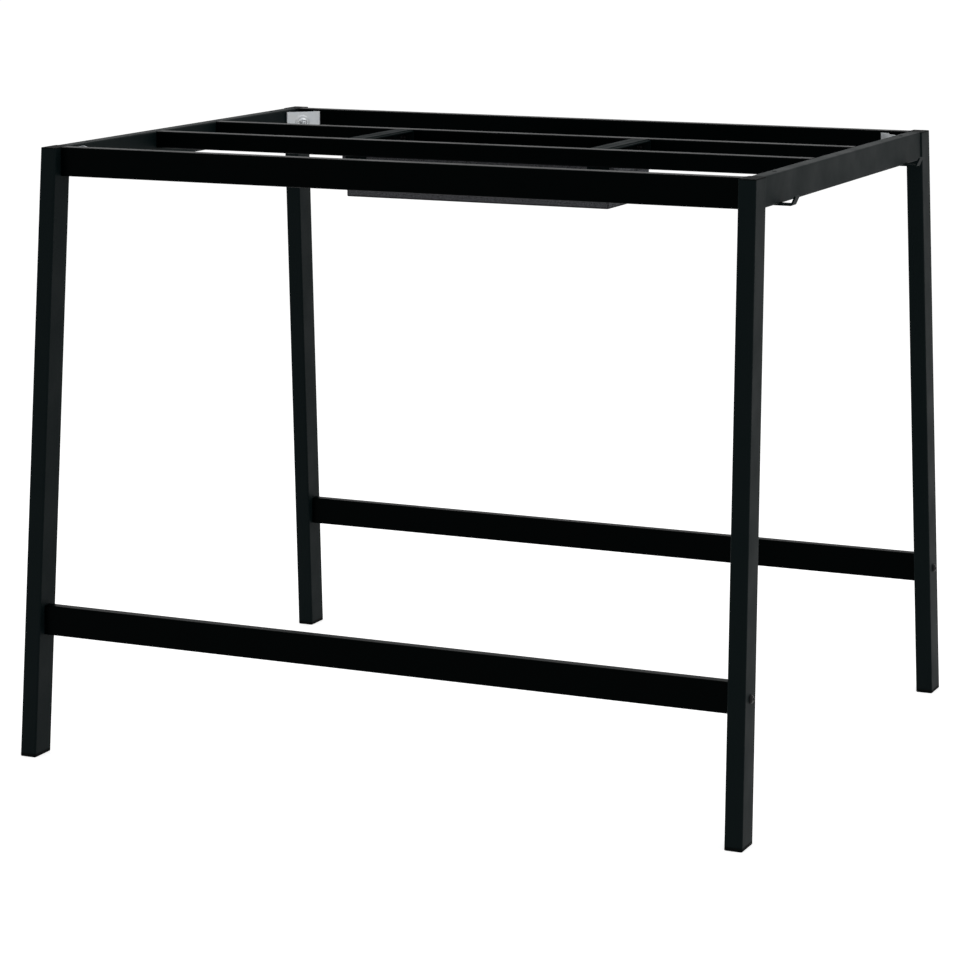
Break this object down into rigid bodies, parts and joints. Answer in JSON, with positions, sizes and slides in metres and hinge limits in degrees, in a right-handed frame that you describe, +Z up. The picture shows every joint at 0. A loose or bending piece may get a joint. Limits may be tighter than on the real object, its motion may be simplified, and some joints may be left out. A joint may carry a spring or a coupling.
{
  "type": "table underframe",
  "caption": "Bar-height table underframe in black steel tube with leaning legs, low stretchers, bag hooks and a hung felt cable tray.",
  "frame": {"origin": "on the floor at the middle of the four feet", "axes": "+X along the long rails towards the right end, +Y towards the rear, +Z up"},
  "size_m": [1.3488, 1.0778, 1.03],
  "materials": {
    "frame_coat": "smooth satin black powder coat",
    "strut_coat": "satin black powder coat",
    "hook_coat": "satin black powder coat",
    "plug_plastic": "fine matt black",
    "foot_plastic": "fine matt black",
    "bright_zinc": "bright zinc plate",
    "plain_steel": "plain steel",
    "black_screw": "black oxide",
    "grey_felt": "pressed felt",
    "rivet_plastic": "matt black"
  },
  "bodies": {
    "root": {"bag_hook_front_left": "hook_coat", "bag_hook_front_right": "hook_coat", "bag_hook_rear_left": "hook_coat", "bag_hook_rear_right": "hook_coat", "cable_tray": "grey_felt", "corner_bracket_front_left": "bright_zinc", "corner_bracket_front_right": "bright_zinc", "corner_bracket_rear_left": "bright_zinc", "corner_bracket_rear_right": "bright_zinc", "corner_nuts": "bright_zinc", "corner_studs": "bright_zinc", "foot_front_left": "foot_plastic", "foot_front_right": "foot_plastic", "foot_rear_left": "foot_plastic", "foot_rear_right": "foot_plastic", "hook_rivet_nuts": "plain_steel", "hook_screws": "black_screw", "inner_rail_front": "frame_coat", "inner_rail_rear": "frame_coat", "leg_front_left": "frame_coat", "leg_front_right": "frame_coat", "leg_rear_left": "frame_coat", "leg_rear_right": "frame_coat", "leg_top_plug_front_left": "plug_plastic", "leg_top_plug_front_right": "plug_plastic", "leg_top_plug_rear_left": "plug_plastic", "leg_top_plug_rear_right": "plug_plastic", "long_rail_front": "frame_coat", "long_rail_rear": "frame_coat", "side_rail_left": "frame_coat", "side_rail_right": "frame_coat", "stretcher_front": "frame_coat", "stretcher_plugs": "plain_steel", "stretcher_rear": "frame_coat", "stretcher_screws": "black_screw", "strut_screws": "black_screw", "tray_rivets": "rivet_plastic", "tray_strut_left": "strut_coat", "tray_strut_right": "strut_coat"}
  },
  "joints": []
}
